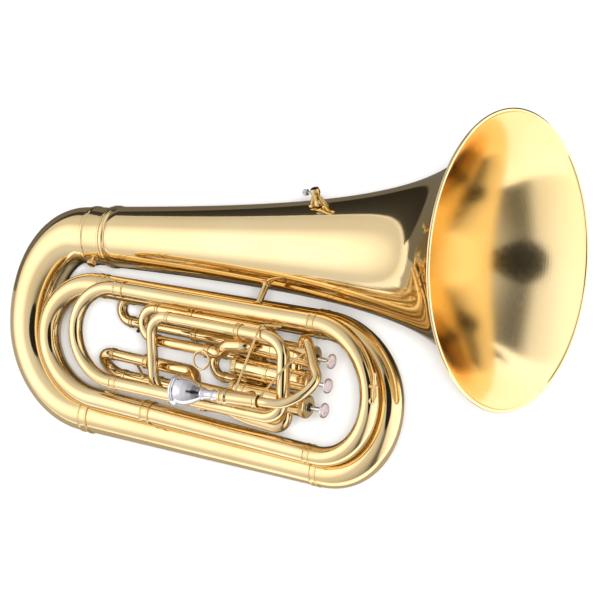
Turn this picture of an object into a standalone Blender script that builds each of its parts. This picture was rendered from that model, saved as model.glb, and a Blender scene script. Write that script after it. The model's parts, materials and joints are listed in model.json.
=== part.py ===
"""A three-quarter size marching tuba with three piston valves and a detachable bell.

The instrument is laid out in its own frame, in millimetres: X runs along the bell's axis
from its collar to its mouth, Y points from the valves to the bell, and Z points to the
player's side. An empty then lays it on its back on the floor, with the valves upwards.
"""

import math

import bmesh
import bpy
from mathutils import Vector

MM = 0.001
TOUCH = 0.3  # clear gap between two pieces that meet

# Rest pose: the bell's rim and the large bottom bow carry the instrument.
REST_PITCH = 11.02  # degrees, the bell's mouth raised
REST_ROLL = 7.49  # degrees, the valve side lowered

# Bell
BELL_LENGTH = 714.0
BELL_RADIUS = 225.0
BEAD_RADIUS = 2.7
FLARE_SCALE = 110.0  # mm, how quickly the flare opens
FLARE_POWER = 0.785
BELL_WALL = 0.9
TENON_LENGTH = 26.0
TENON_RADIUS = 42.8
COLLAR_LENGTH = 40.0

# Music clip socket, which stands square to the bell's axis on its upper front
LYRE_X = 400.0
LYRE_ANGLE = math.radians(58.0)  # from Z towards Y
LYRE_HEIGHT = 28.0

# Valves: the three axes lie in one plane and slope a little away from the bell's axis.
VALVE_SLOPE = math.radians(7.0)
VALVE_PITCH = 37.3
VALVE_DEPTH = 40.0  # Z of the valves' plane
VALVE_TWO_TOP = Vector((401.1, -199.2, VALVE_DEPTH))  # middle of the second top cap's face
STROKE = 16.0
CASING_RADIUS = 16.5
CASING_LENGTH = 132.0
CASING_TOP = 6.0  # below the top cap's face
CAP_RADIUS = 17.8
PISTON_RADIUS = 14.7
PISTON_LENGTH = 72.0
PISTON_TOP = 24.0
STEM_RADIUS = 3.2
BUTTON_RADIUS = 11.5
BUTTON_UNDERSIDE = STROKE + 9.0  # above the top cap's face
VALVE_SIDES = 18

# Tubing
BUGLE_WALL = 0.9
SLIDE_RADIUS = 8.4
SLEEVE_RADIUS = 9.9
SLEEVE_WALL = 0.9
SLIDE_SIDES = 10
LEADPIPE_RADIUS = 7.0

VALVE_AXIS = Vector((math.cos(VALVE_SLOPE), -math.sin(VALVE_SLOPE), 0.0))
VALVE_ACROSS = Vector((math.sin(VALVE_SLOPE), math.cos(VALVE_SLOPE), 0.0))
SLIDE_AXIS = Vector((0.9945, -0.1050, 0.0)).normalized()

# Corners of the main tubing, from the bell's collar to the main tuning slide. Each bend is
# a quarter ellipse that leaves the straight run at the first length before the corner and
# meets the next run at the second length after it.
BUGLE_CORNERS = [
    (-40.3, 0.0, 0.0),
    (-150.0, 0.0, 0.0),
    (-150.0, -259.0, 0.0),
    (513.0, -347.3, 0.0),
    (513.0, -123.5, 0.0),
    (-82.0, -66.0, 50.0),
    (-84.0, -234.0, 46.0),
    (505.0, -321.0, 42.0),
    (511.0, -118.0, 50.0),
    (-7.0, -69.0, 86.0),
    (-7.0, -210.0, 84.0),
    (380.0, -256.0, 86.0),
    (377.0, -136.0, 86.0),
    (290.0, -127.3, 85.3),
]
BUGLE_BENDS = [
    (98.0, 138.0),
    (120.0, 112.0),
    (110.0, 120.0),
    (103.0, 110.0),
    (88.0, 84.0),
    (83.0, 92.0),
    (94.0, 101.0),
    (101.0, 94.0),
    (70.0, 70.0),
    (70.0, 70.0),
    (36.0, 30.0),
    (26.0, 34.0),
]


# ---------------------------------------------------------------- scene and materials
def clear_scene():
    for old in list(bpy.data.objects):
        bpy.data.objects.remove(old, do_unlink=True)


def new_collection(name):
    made = bpy.data.collections.new(name)
    bpy.context.scene.collection.children.link(made)
    return made


def new_material(name, colour, roughness, metallic):
    made = bpy.data.materials.new(name)
    made.use_nodes = True
    shader = made.node_tree.nodes["Principled BSDF"]
    shader.inputs["Base Color"].default_value = (*colour, 1.0)
    shader.inputs["Roughness"].default_value = roughness
    shader.inputs["Metallic"].default_value = metallic
    made.diffuse_color = (*colour, 1.0)
    return made


clear_scene()
TUBA = new_collection("tuba")
CUTTERS = new_collection("cutters")
CUTTERS.hide_render = True
BRASS = new_material("lacquered_brass", (0.86, 0.60, 0.22), 0.12, 1.0)
SILVER = new_material("silver_plate", (0.82, 0.82, 0.84), 0.10, 1.0)
PEARL = new_material("pearl", (0.78, 0.70, 0.70), 0.25, 0.0)
STEEL = new_material("spring_steel", (0.55, 0.56, 0.58), 0.30, 1.0)

FRAME = bpy.data.objects.new("rest_frame", None)
FRAME.rotation_euler = (math.radians(REST_ROLL), math.radians(-REST_PITCH), 0.0)
TUBA.objects.link(FRAME)


# ---------------------------------------------------------------- shape helpers
def place(obj, material, collection=TUBA):
    """Puts an object under the rest frame, with its material."""
    if obj.name not in collection.objects:
        collection.objects.link(obj)
    obj.parent = FRAME
    obj.data.materials.clear()
    obj.data.materials.append(material)
    return obj


def smooth_shade(mesh):
    mesh.shade_smooth()
    mesh.set_sharp_from_angle(angle=math.radians(35))


def rounded_path(corners, bends, steps):
    """Points along straight runs whose corners are quarter ellipses of the given lengths."""
    corners = [Vector(c) for c in corners]
    path = [corners[0]]
    for i, (before, after) in enumerate(bends, start=1):
        corner = corners[i]
        inward = (corner - corners[i - 1]).normalized()
        outward = (corners[i + 1] - corner).normalized()
        for k in range(steps + 1):
            angle = math.pi / 2 * k / steps
            back = -before * (1 - math.sin(angle)) * inward
            path.append(corner + back + after * (1 - math.cos(angle)) * outward)
    path.append(corners[-1])
    return without_repeats(path)


def without_repeats(path):
    kept = [path[0]]
    for point in path[1:]:
        if (point - kept[-1]).length > 0.5:
            kept.append(point)
    return kept


def smooth_path(points, steps):
    """A Catmull-Rom curve through the points."""
    points = [Vector(p) for p in points]
    ends = [2 * points[0] - points[1], *points, 2 * points[-1] - points[-2]]
    path = []
    for a, b, c, d in zip(ends, ends[1:], ends[2:], ends[3:]):
        for k in range(steps):
            t = k / steps
            path.append(
                0.5
                * (
                    2 * b
                    + (c - a) * t
                    + (2 * a - 5 * b + 4 * c - d) * t**2
                    + (3 * b - a - 3 * c + d) * t**3
                )
            )
    path.append(points[-1])
    return path


def run_lengths(path):
    total = [0.0]
    for a, b in zip(path, path[1:]):
        total.append(total[-1] + (b - a).length)
    return total


def swept_curve(name, path, radii, sides, capped):
    """A curve object with a round bevel whose radius changes along its points."""
    curve = bpy.data.curves.new(name, "CURVE")
    curve.dimensions = "3D"
    curve.bevel_depth = MM
    curve.bevel_resolution = (sides - 4) // 2
    curve.use_fill_caps = capped
    spline = curve.splines.new("POLY")
    spline.points.add(len(path) - 1)
    for point, where, radius in zip(spline.points, path, radii):
        point.co = (*(where * MM), 1.0)
        point.radius = radius
    return bpy.data.objects.new(name, curve)


def meshed(obj, collection=TUBA):
    """The curve object as a mesh object of the same name."""
    collection.objects.link(obj)
    seen = obj.evaluated_get(bpy.context.evaluated_depsgraph_get())
    mesh = bpy.data.meshes.new_from_object(seen)
    name = obj.name
    bpy.data.objects.remove(obj, do_unlink=True)
    mesh.name = name
    edit = bmesh.new()
    edit.from_mesh(mesh)
    bmesh.ops.remove_doubles(edit, verts=edit.verts, dist=1e-6)
    edit.to_mesh(mesh)
    edit.free()
    smooth_shade(mesh)
    made = bpy.data.objects.new(name, mesh)
    collection.objects.link(made)
    return made


def tube(name, path, start_radius, end_radius, sides, wall=BUGLE_WALL, material=BRASS):
    """A hollow tube along the path, tapering evenly from one outer radius to the other."""
    along = run_lengths(path)
    radii = [start_radius + (end_radius - start_radius) * s / along[-1] for s in along]
    made = place(meshed(swept_curve(name, path, radii, sides, capped=False)), material)
    shell = made.modifiers.new("wall", "SOLIDIFY")
    shell.thickness = wall * MM
    shell.offset = -1.0
    return made


def rod(name, path, radius, sides, material=BRASS):
    """A solid wire or bar along the path."""
    radii = [radius] * len(path)
    return place(meshed(swept_curve(name, path, radii, sides, capped=True)), material)


def turned(name, profile, origin, axis, steps, material=BRASS, collection=TUBA):
    """A profile of (radius, height) turned about an axis. It runs down its outer side."""
    closed = profile[0][0] > 0.0
    mesh = bpy.data.meshes.new(name)
    edges = [(i, i + 1) for i in range(len(profile) - 1)]
    if closed:
        edges.append((len(profile) - 1, 0))
    mesh.from_pydata([(r * MM, 0.0, z * MM) for r, z in profile], edges, [])
    made = place(bpy.data.objects.new(name, mesh), material, collection)
    made.location = Vector(origin) * MM
    made.rotation_mode = "QUATERNION"
    made.rotation_quaternion = Vector((0.0, 0.0, 1.0)).rotation_difference(Vector(axis))
    screw = made.modifiers.new("turn", "SCREW")
    screw.axis = "Z"
    screw.steps = screw.render_steps = steps
    screw.use_merge_vertices = True
    screw.merge_threshold = 1e-6
    screw.use_smooth_shade = True
    return made


def solid_profile(radius, top, bottom):
    return [(0.0, top), (radius, top), (radius, bottom), (0.0, bottom)]


def cut(piece, cutter):
    """Takes a hidden cutter out of a piece."""
    cutter.hide_render = True
    cutter.display_type = "WIRE"
    trim = piece.modifiers.new("cut", "BOOLEAN")
    trim.operation = "DIFFERENCE"
    trim.object = cutter
    return piece


# ---------------------------------------------------------------- valve positions
def valve_top(number):
    """Middle of a valve's top cap face; valve 1 is the one nearest the bell."""
    return VALVE_TWO_TOP + VALVE_ACROSS * VALVE_PITCH * (2 - number)


def on_valve(number, x):
    """The point on a valve's axis at this X."""
    top = valve_top(number)
    return top + VALVE_AXIS * (x - top.x) / VALVE_AXIS.x


def casing_cutter(number):
    """A cylinder just wider than a casing, so that a tube's end fits against its side."""
    return turned(
        f"casing_{number}_clearance",
        solid_profile(CASING_RADIUS + TOUCH, 10.0, -CASING_LENGTH - 30.0),
        valve_top(number),
        VALVE_AXIS,
        40,
        collection=CUTTERS,
    )


CASING_CUTTERS = {number: casing_cutter(number) for number in (1, 2, 3)}


# ---------------------------------------------------------------- bell
def flare_radius(x):
    """Inner radius of the bell at this distance from its collar."""
    depth = BELL_LENGTH - x
    rim = BELL_RADIUS - BEAD_RADIUS
    return rim * (FLARE_SCALE / (depth + FLARE_SCALE)) ** FLARE_POWER


def bell_stations():
    """Distances from the collar, closer together towards the mouth."""
    count = 10
    return [BELL_LENGTH * (1 - (1 - i / count) ** 1.9) for i in range(count)] + [
        BELL_LENGTH - BEAD_RADIUS
    ]


def make_bell():
    bead = Vector((BELL_RADIUS - BEAD_RADIUS, BELL_LENGTH - BEAD_RADIUS))
    rim = []
    for degrees in (150, 90, 30, -30, -90):
        turn = math.radians(degrees)
        rim.append(bead + BEAD_RADIUS * Vector((math.cos(turn), math.sin(turn))))
    stations = bell_stations()[:-1]
    outside = [Vector((flare_radius(x) + BELL_WALL, x)) for x in reversed(stations[1:])]
    collar_bead = [(46.4, 6.0), (48.6, 4.0), (48.6, 1.6), (46.4, 0.0)]
    tenon = [(TENON_RADIUS, 0.0), (TENON_RADIUS, -TENON_LENGTH)]
    tenon += [(TENON_RADIUS - 1.0, -TENON_LENGTH), (TENON_RADIUS - 1.0, 4.0)]
    inside = [Vector((flare_radius(x), x)) for x in stations[1:]]
    profile = [*rim, *outside, *collar_bead, *tenon, *inside]
    return turned("bell", [tuple(p) for p in profile], (0, 0, 0), (1, 0, 0), 32)


def make_bow_collar():
    """The sleeve on the bottom bow that takes the bell's tenon."""
    inner, outer, bead = TENON_RADIUS + 0.6, TENON_RADIUS + 1.8, TENON_RADIUS + 4.6
    profile = [(outer, 0.0), (bead, -1.0), (bead, -4.0), (outer, -6.0)]
    profile += [(outer, 6.0 - COLLAR_LENGTH), (bead - 1.6, 5.0 - COLLAR_LENGTH)]
    profile += [(bead - 1.6, 1.5 - COLLAR_LENGTH), (outer, -COLLAR_LENGTH + TOUCH)]
    profile += [(inner, -COLLAR_LENGTH + TOUCH), (inner, 0.0)]
    return turned("bow_collar", profile, (-TOUCH, 0, 0), (1, 0, 0), 28)


def make_lock_screw():
    """A thumbscrew that holds the bell's tenon in the collar."""
    out = Vector((0.0, -0.76, 0.65)).normalized()
    foot = Vector((-18.0, 0.0, 0.0)) + out * (TENON_RADIUS + 2.3)
    profile = [(0.0, 13.0), (6.5, 13.0), (7.0, 12.0), (7.0, 6.5), (6.0, 5.5)]
    profile += [(3.6, 5.5), (3.6, 0.0), (0.0, 0.0)]
    return turned("bell_lock_screw", profile, foot, out, 20)


def make_lyre_holder():
    """A music clip socket on the bell's upper front, with its knurled screw."""
    out = Vector((0.0, math.sin(LYRE_ANGLE), math.cos(LYRE_ANGLE)))
    seat = Vector((LYRE_X, 0.0, 0.0)) + out * (flare_radius(LYRE_X) + BELL_WALL + 2.2)
    profile = [(6.6, LYRE_HEIGHT), (6.6, 9.0), (8.4, 5.0), (8.4, 0.0), (4.0, 0.0), (4.0, LYRE_HEIGHT)]
    turned("lyre_holder", profile, seat, out, 16)
    head = [(0.0, 14.0), (5.0, 14.0), (5.0, 7.0), (1.8, 7.0), (1.8, 0.0), (0.0, 0.0)]
    turned("lyre_screw", head, seat + out * 20.0 + Vector((-7.0, 0.0, 0.0)), (-1, 0, 0), 14)


# ---------------------------------------------------------------- main tubing
BUGLE_PATH = rounded_path(BUGLE_CORNERS, BUGLE_BENDS, 5)


def nearest_on_bugle(point):
    """Index of the segment nearest to a point, and the point on it."""
    best = None
    for i, (a, b) in enumerate(zip(BUGLE_PATH, BUGLE_PATH[1:])):
        along = max(0.0, min(1.0, (point - a).dot(b - a) / (b - a).length_squared))
        on = a.lerp(b, along)
        if best is None or (point - on).length < best[0]:
            best = ((point - on).length, i, on)
    return best[1], best[2]


def bugle_part(first, last):
    """The main path between the points nearest to two places, less the gaps at its ends."""
    start, start_on = nearest_on_bugle(Vector(first))
    end, end_on = nearest_on_bugle(Vector(last))
    path = [start_on, *BUGLE_PATH[start + 1 : end + 1], end_on]
    path = without_repeats(path)
    path[0] = path[0] + (path[1] - path[0]).normalized() * TOUCH / 2
    path[-1] = path[-1] + (path[-2] - path[-1]).normalized() * TOUCH / 2
    return path


# Each length of the main tubing: name, where it starts, its outer radius there, and sides.
BUGLE_PARTS = [
    ("bottom_bow", (-40.3, 0.0, 0.0), 44.0, 14),
    ("outer_branch", (-30.0, -275.0, 0.0), 27.5, 12),
    ("large_top_bow", (396.0, -331.7, 0.0), 24.4, 12),
    ("upper_rear_branch", (396.0, -112.2, 9.8), 22.0, 12),
    ("second_bottom_bow", (12.0, -75.1, 42.1), 18.0, 12),
    ("second_branch", (109.0, -262.5, 44.7), 16.2, 12),
    ("small_top_bow", (404.0, -306.1, 42.7), 15.0, 12),
    ("upper_front_branch", (410.0, -108.4, 57.0), 14.4, 12),
    ("small_bottom_bow", (70.0, -76.3, 80.6), 11.2, 12),
    ("small_branch", (70.0, -219.2, 84.4), 10.4, 12),
]
BUGLE_END = (290.0, -127.3, 85.3)


def make_bugle():
    ends = [part[1] for part in BUGLE_PARTS[1:]] + [BUGLE_END]
    widths = [part[2] for part in BUGLE_PARTS[1:]] + [SLEEVE_RADIUS]
    for (name, first, width, sides), last, end_width in zip(BUGLE_PARTS, ends, widths):
        tube(name, bugle_part(first, last), width, end_width, sides)


# ---------------------------------------------------------------- slides
def u_slide(name, near, far, axis, legs, radius=SLIDE_RADIUS, bend=None):
    """A crook whose two legs run parallel to the axis, with lengths from its corners."""
    near, far = Vector(near), Vector(far)
    corners = [near + axis * legs[0], near, far, far + axis * legs[1]]
    bend = (far - near).length / 2 if bend is None else bend
    path = rounded_path(corners, [(bend, bend), (bend, bend)], 4)
    return tube(name, path, radius, radius, SLIDE_SIDES, wall=0.8)


def sleeve(name, corners, bends, valve=None, radius=SLEEVE_RADIUS, end_radius=None):
    """An outer slide tube; where it ends on a valve's axis it is cut to fit the casing."""
    path = rounded_path(corners, bends, 3)
    end_radius = radius if end_radius is None else end_radius
    made = tube(name, path, radius, end_radius, SLIDE_SIDES, wall=SLEEVE_WALL)
    if valve is not None:
        cut(made, CASING_CUTTERS[valve])
    return made


def make_main_tuning_slide():
    top = Vector((131.0, -112.0, 84.0))
    low = Vector((127.0, -233.0, 60.0))
    axis = (Vector(BUGLE_CORNERS[-1]) - top).normalized()
    u_slide("main_tuning_slide", top, low, axis, (196.0, 124.0), bend=30.0)
    start = low + axis * 90.0
    corners = [start, low + axis * 140.0, (292.0, -257.5, 56.0), (358.0, -271.0, 46.0)]
    sleeve("valve_exit_tube", [*corners, on_valve(3, 358.0)], [(14, 14), (16, 16), (17, 17)], 3)


def make_first_slide():
    near, far = Vector((100.0, -101.0, 58.0)), Vector((101.0, -149.0, 58.0))
    u_slide("first_valve_slide", near, far, SLIDE_AXIS, (125.0, 135.5))
    corners = [near + SLIDE_AXIS * 86.0, near + SLIDE_AXIS * 232.0, on_valve(1, 334.0)]
    sleeve("first_slide_sleeve_upper", corners, [(12, 12)], 1)
    corners = [far + SLIDE_AXIS * 118.0, far + SLIDE_AXIS * 146.0, (264.0, -151.0, 72.0)]
    corners += [(302.0, -149.7, 74.0), on_valve(1, 304.0)]
    sleeve("first_slide_sleeve_lower", corners, [(10, 10), (9, 9), (12, 12)], 1)


def make_second_slide():
    near, far = Vector((204.0, -164.5, 14.0)), Vector((204.0, -200.0, 14.0))
    u_slide("second_valve_slide", near, far, VALVE_AXIS, (62.0, 80.0), radius=7.2)
    corners = [near + VALVE_AXIS * 41.0, near + VALVE_AXIS * 92.0, on_valve(2, 306.0)]
    sleeve("second_slide_sleeve_upper", corners, [(10, 10)], 2, radius=8.7)
    corners = [far + VALVE_AXIS * 41.0, far + VALVE_AXIS * 100.0, on_valve(2, 318.0)]
    sleeve("second_slide_sleeve_lower", corners, [(10, 10)], 2, radius=8.7)


def make_third_slide():
    near, far = Vector((12.0, -174.9, 44.0)), Vector((12.0, -207.9, 12.0))
    u_slide("third_valve_slide", near, far, VALVE_AXIS, (127.0, 127.0))
    corners = [near + VALVE_AXIS * 86.0, near + VALVE_AXIS * 177.0, (206.0, -218.0, 66.0)]
    corners += [(302.0, -229.6, 72.0), on_valve(3, 304.0)]
    sleeve("third_slide_sleeve_upper", corners, [(12, 12), (12, 12), (12, 12)], 3)
    corners = [far + VALVE_AXIS * 86.0, far + VALVE_AXIS * 320.0, on_valve(3, 338.0)]
    sleeve("third_slide_sleeve_lower", corners, [(14, 14)], 3)


def make_rear_slide():
    near, far = Vector((13.0, -92.0, -8.0)), Vector((13.0, -127.0, -8.0))
    u_slide("rear_tuning_slide", near, far, SLIDE_AXIS, (180.0, 180.0), radius=8.0)
    corners = [near + SLIDE_AXIS * 137.0, near + SLIDE_AXIS * 272.0, (292.0, -134.0, -2.0)]
    sleeve("rear_slide_sleeve_upper", [*corners, on_valve(1, 304.0)], [(7, 7), (6, 6)], 1)
    corners = [far + SLIDE_AXIS * 137.0, far + SLIDE_AXIS * 318.0, (338.0, -182.0, 4.0)]
    sleeve("rear_slide_sleeve_lower", [*corners, on_valve(2, 345.0)], [(12, 12), (10, 10)], 2)


# ---------------------------------------------------------------- valves
def make_valve(number):
    top = valve_top(number)
    inner = CASING_RADIUS - 1.2
    high, low = -CASING_TOP, -CASING_TOP - CASING_LENGTH
    casing = [(CASING_RADIUS, high), (CASING_RADIUS, low), (inner, low), (inner, high)]
    turned(f"valve_casing_{number}", casing, top, VALVE_AXIS, VALVE_SIDES)

    # The caps are cups that screw over the casing's two ends.
    wall = CASING_RADIUS + 0.5
    hole = STEM_RADIUS + 0.8
    cap = [(CAP_RADIUS - 1.0, 0.0), (CAP_RADIUS, -1.0), (CAP_RADIUS, -12.0), (wall, -12.0)]
    cap += [(wall, high + 1.0), (inner - 2.0, high + 1.0), (hole, high + 1.0), (hole, 0.0)]
    turned(f"top_cap_{number}", cap, top, VALVE_AXIS, VALVE_SIDES)
    floor = low - 1.0
    cap = [(CAP_RADIUS, low + 7.0), (CAP_RADIUS, floor - 1.0), (CAP_RADIUS - 2.0, floor - 2.5)]
    cap += [(2.0, floor - 2.5), (2.0, floor), (wall, floor), (wall, low + 7.0)]
    turned(f"bottom_cap_{number}", cap, top, VALVE_AXIS, VALVE_SIDES)

    # The piston is a hollow drum under a solid stem, with a vent in its floor.
    piston_low = -PISTON_TOP - PISTON_LENGTH
    drum = [(0.0, BUTTON_UNDERSIDE - TOUCH), (STEM_RADIUS, BUTTON_UNDERSIDE - TOUCH)]
    drum += [(STEM_RADIUS, -PISTON_TOP), (PISTON_RADIUS, -PISTON_TOP)]
    drum += [(PISTON_RADIUS, piston_low), (2.5, piston_low), (2.5, piston_low + 1.5)]
    drum += [(PISTON_RADIUS - 1.2, piston_low + 1.5), (PISTON_RADIUS - 1.2, -PISTON_TOP - 2.0)]
    drum += [(0.0, -PISTON_TOP - 2.0)]
    turned(f"piston_{number}", drum, top, VALVE_AXIS, VALVE_SIDES, SILVER)

    button = [(0.0, 5.2), (BUTTON_RADIUS - 2.0, 5.0), (BUTTON_RADIUS, 3.6), (BUTTON_RADIUS, 1.2)]
    button += [(BUTTON_RADIUS - 2.5, 0.0), (0.0, 0.0)]
    seat = top + VALVE_AXIS * BUTTON_UNDERSIDE
    turned(f"finger_button_{number}", button, seat, VALVE_AXIS, VALVE_SIDES, PEARL)
    make_spring(number, top, floor + TOUCH, piston_low - TOUCH)


def make_spring(number, top, low, high):
    """The return spring under a piston, as a coil with a few open turns."""
    turns, around, wire, radius = 4, 8, 0.9, 10.0
    span = high - low - 2 * wire
    path = []
    for k in range(turns * around + 1):
        angle = 2 * math.pi * k / around
        height = low + wire + span * k / (turns * around)
        across = math.cos(angle) * VALVE_ACROSS + math.sin(angle) * Vector((0, 0, 1))
        path.append(top + VALVE_AXIS * height + across * radius)
    rod(f"valve_spring_{number}", path, wire, 4, STEEL)


def make_knuckle(upper, x):
    """The short tube between two neighbouring casings."""
    lower = upper + 1
    path = [on_valve(upper, x), on_valve(lower, x)]
    made = tube(f"knuckle_{upper}_{lower}", path, 9.2, 9.2, 10)
    cut(made, CASING_CUTTERS[upper])
    cut(made, CASING_CUTTERS[lower])


# ---------------------------------------------------------------- mouthpipe
RECEIVER_AXIS = Vector((0.9982, -0.055, -0.02)).normalized()
RECEIVER_START = Vector((288.0, -225.2, 118.6))
RECEIVER_LENGTH = 68.0


def make_mouthpipe():
    start, axis = RECEIVER_START, RECEIVER_AXIS
    length = RECEIVER_LENGTH
    shell = [(9.8, length), (9.8, 8.0), (11.2, 6.0), (11.2, 0.0), (8.3, 0.0), (8.6, length)]
    turned("mouthpiece_receiver", shell, start, axis, 18)
    end = start + axis * (length + TOUCH)
    points = [end, end + axis * 18.0, (397.0, -229.5, 110.0), (424.0, -214.0, 99.0)]
    points += [(440.0, -191.0, 89.0), (427.0, -171.0, 79.0), (413.0, -152.0, 68.0)]
    points += [(401.0, -138.0, 58.0), (388.0, -137.0, 50.0), on_valve(1, 383.0)]
    pipe = tube("leadpipe", smooth_path(points, 2), LEADPIPE_RADIUS, LEADPIPE_RADIUS + 0.3, 10)
    cut(pipe, CASING_CUTTERS[1])


def make_mouthpiece():
    """Rim at the far end of the receiver, cup, throat and a tapered shank inside it."""
    outside = [(16.0, 77.0), (19.0, 79.0), (22.5, 79.0), (24.6, 76.5), (24.8, 74.0)]
    outside += [(22.6, 69.5), (21.8, 60.0), (18.6, 49.0), (13.0, 38.0), (9.2, 31.0)]
    outside += [(7.4, 25.0), (6.6, 10.0), (7.0, 0.0), (6.2, -22.0), (4.6, -22.0)]
    inside = [(4.2, 20.0), (4.2, 29.0), (9.0, 41.0), (13.6, 52.0), (15.6, 65.0)]
    foot = RECEIVER_START - RECEIVER_AXIS * 1.0
    turned("mouthpiece", [*outside, *inside], foot, -RECEIVER_AXIS, 16, SILVER)


# ---------------------------------------------------------------- small fittings
def make_thumb_ring():
    centre, major, wire = Vector((218.0, -176.0, 70.1)), 14.0, 1.7
    count = 18
    path = []
    for k in range(count + 1):
        turn = 2 * math.pi * k / count
        path.append(centre + major * Vector((math.cos(turn), math.sin(turn), 0.0)))
    ring = swept_curve("thumb_ring", path[:-1], [wire] * count, 8, capped=False)
    ring.data.splines[0].use_cyclic_u = True
    place(meshed(ring), BRASS)


def make_stay(name, first, first_radius, second, second_radius, post=2.2):
    """A short post with a foot at each end, between the walls of two tubes."""
    first, second = Vector(first), Vector(second)
    axis = (second - first).normalized()
    low = first_radius + TOUCH + 0.4
    high = (second - first).length - second_radius - TOUCH - 0.4
    foot = post + 1.8
    profile = [(0.0, high), (foot, high), (foot, high - 1.5), (post, high - 2.5)]
    profile += [(post, low + 2.5), (foot, low + 1.5), (foot, low), (0.0, low)]
    turned(name, profile, first, axis, 12)


def make_brace_rod():
    """A bent rod from the front branch over the slides to the mouthpiece receiver."""
    receiver = RECEIVER_START + RECEIVER_AXIS * 24.0
    points = [(364.0, -117.5, 74.6), (334.0, -116.0, 86.0), (338.5, -126.0, 99.5)]
    points += [receiver + Vector((3.0, 13.0, 1.0))]
    path = rounded_path(points, [(8, 8), (6, 6)], 3)
    rod("brace_rod", path, 1.7, 8)


def make_water_key():
    """A spring-closed drain key on the small top bow: its nipple, its saddle and its lever."""
    seat = Vector((508.5, -219.0, 46.2))
    out = Vector((0.72, 0.0, 0.69)).normalized()
    hinge = out.cross(Vector((0.0, 1.0, 0.0)))
    foot = seat + out * 15.3
    profile = [(3.6, 7.0), (3.6, 0.6), (5.4, 0.0), (2.6, 0.0), (2.6, 7.0)]
    turned("water_key_nipple", profile, foot, out, 14)
    pivot = foot + Vector((0.0, 22.0, 0.0)) + out * 6.0
    saddle = [pivot - out * 3.7 + hinge * 6.0, pivot - out * 3.7 - hinge * 6.0]
    rod("water_key_saddle", saddle, 2.6, 8)
    lever = [foot + out * 9.6 + Vector((0.0, -2.0, 0.0)), pivot + out * 1.5]
    lever += [pivot + Vector((0.0, 20.0, 0.0)) + out * 4.5]
    rod("water_key_lever", rounded_path(lever, [(6, 6)], 3), 2.2, 8)


def settle():
    """Moves the rest frame so that the origin is under the middle of the resting object."""
    bpy.context.view_layer.update()
    graph = bpy.context.evaluated_depsgraph_get()
    low, high = Vector((1e9,) * 3), Vector((-1e9,) * 3)
    for obj in TUBA.objects:
        if obj.type == "EMPTY":
            continue
        seen = obj.evaluated_get(graph)
        mesh = seen.to_mesh()
        for vertex in mesh.vertices:
            where = seen.matrix_world @ vertex.co
            low = Vector(map(min, low, where))
            high = Vector(map(max, high, where))
        seen.to_mesh_clear()
    middle = (low + high) / 2
    FRAME.location = (-middle.x, -middle.y, -low.z)
    bpy.context.view_layer.update()


def main():
    make_bell()
    make_bow_collar()
    make_lock_screw()
    make_lyre_holder()
    make_bugle()
    make_main_tuning_slide()
    make_first_slide()
    make_second_slide()
    make_third_slide()
    make_rear_slide()
    for number in (1, 2, 3):
        make_valve(number)
    make_knuckle(1, 372.0)
    make_knuckle(2, 350.0)
    make_mouthpipe()
    make_mouthpiece()
    make_thumb_ring()
    make_brace_rod()
    make_stay("stay_lower", (330.0, -322.9, 0.0), 25.2, (330.0, -295.1, 43.2), 15.7)
    make_stay("stay_upper", (200.0, -93.3, 26.3), 20.3, (200.0, -88.6, 71.6), 12.8)
    make_stay("bell_rest", (308.0, -98.8, 64.1), 14.0, (308.0, 0.0, 0.0), flare_radius(315.0) + 1.4, 4.0)
    make_water_key()
    settle()


main()
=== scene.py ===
"""Finished surfaces, materials, light and camera of the marching tuba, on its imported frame.

Shapes are worked out in the instrument's own frame, in millimetres: X runs along the bell's
axis from its collar to its mouth, Y points from the valves to the bell, and Z points to the
player's side. The frame's own joints say where that frame lies.
"""

import json
import math

import bmesh
import bpy
from mathutils import Matrix, Vector


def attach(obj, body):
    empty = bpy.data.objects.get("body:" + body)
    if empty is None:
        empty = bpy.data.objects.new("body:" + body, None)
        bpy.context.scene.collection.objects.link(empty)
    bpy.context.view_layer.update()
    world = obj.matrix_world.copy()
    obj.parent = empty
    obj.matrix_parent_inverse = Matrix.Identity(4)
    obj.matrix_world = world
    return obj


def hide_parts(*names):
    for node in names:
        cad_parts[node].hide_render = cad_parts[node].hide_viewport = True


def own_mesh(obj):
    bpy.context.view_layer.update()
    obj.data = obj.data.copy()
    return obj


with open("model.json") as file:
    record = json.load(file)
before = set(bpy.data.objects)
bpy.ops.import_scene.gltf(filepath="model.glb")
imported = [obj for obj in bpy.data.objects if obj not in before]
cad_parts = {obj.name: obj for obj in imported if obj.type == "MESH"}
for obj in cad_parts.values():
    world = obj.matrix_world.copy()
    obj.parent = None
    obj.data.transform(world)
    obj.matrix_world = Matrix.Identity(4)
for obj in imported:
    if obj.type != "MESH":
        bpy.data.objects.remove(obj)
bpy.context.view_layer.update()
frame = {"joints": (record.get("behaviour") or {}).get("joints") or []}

MM = 0.001
TAU = 2 * math.pi

# ---------------------------------------------------------------- sizes, as in the CAD
BELL_LENGTH, BELL_RADIUS, BEAD_RADIUS = 714.0, 225.0, 2.7
FLARE_SCALE, FLARE_POWER = 110.0, 0.785
BELL_WALL = 0.9
TENON_LENGTH, TENON_RADIUS, COLLAR_LENGTH = 26.0, 42.8, 40.0

VALVE_SLOPE = math.radians(7.0)
VALVE_PITCH = 37.3
VALVE_TWO_TOP = Vector((401.1, -199.2, 40.0))
STROKE = 16.0
CASING_RADIUS, CASING_LENGTH, CASING_TOP = 16.5, 132.0, 6.0
CAP_RADIUS = 17.8
PISTON_RADIUS, PISTON_LENGTH, PISTON_TOP = 14.7, 72.0, 24.0
STEM_RADIUS = 3.2
BUTTON_RADIUS = 11.5
BUTTON_UNDERSIDE = STROKE + 9.0

SLIDE_RADIUS, SLEEVE_RADIUS, WALL = 8.4, 9.9, 0.9

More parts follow.
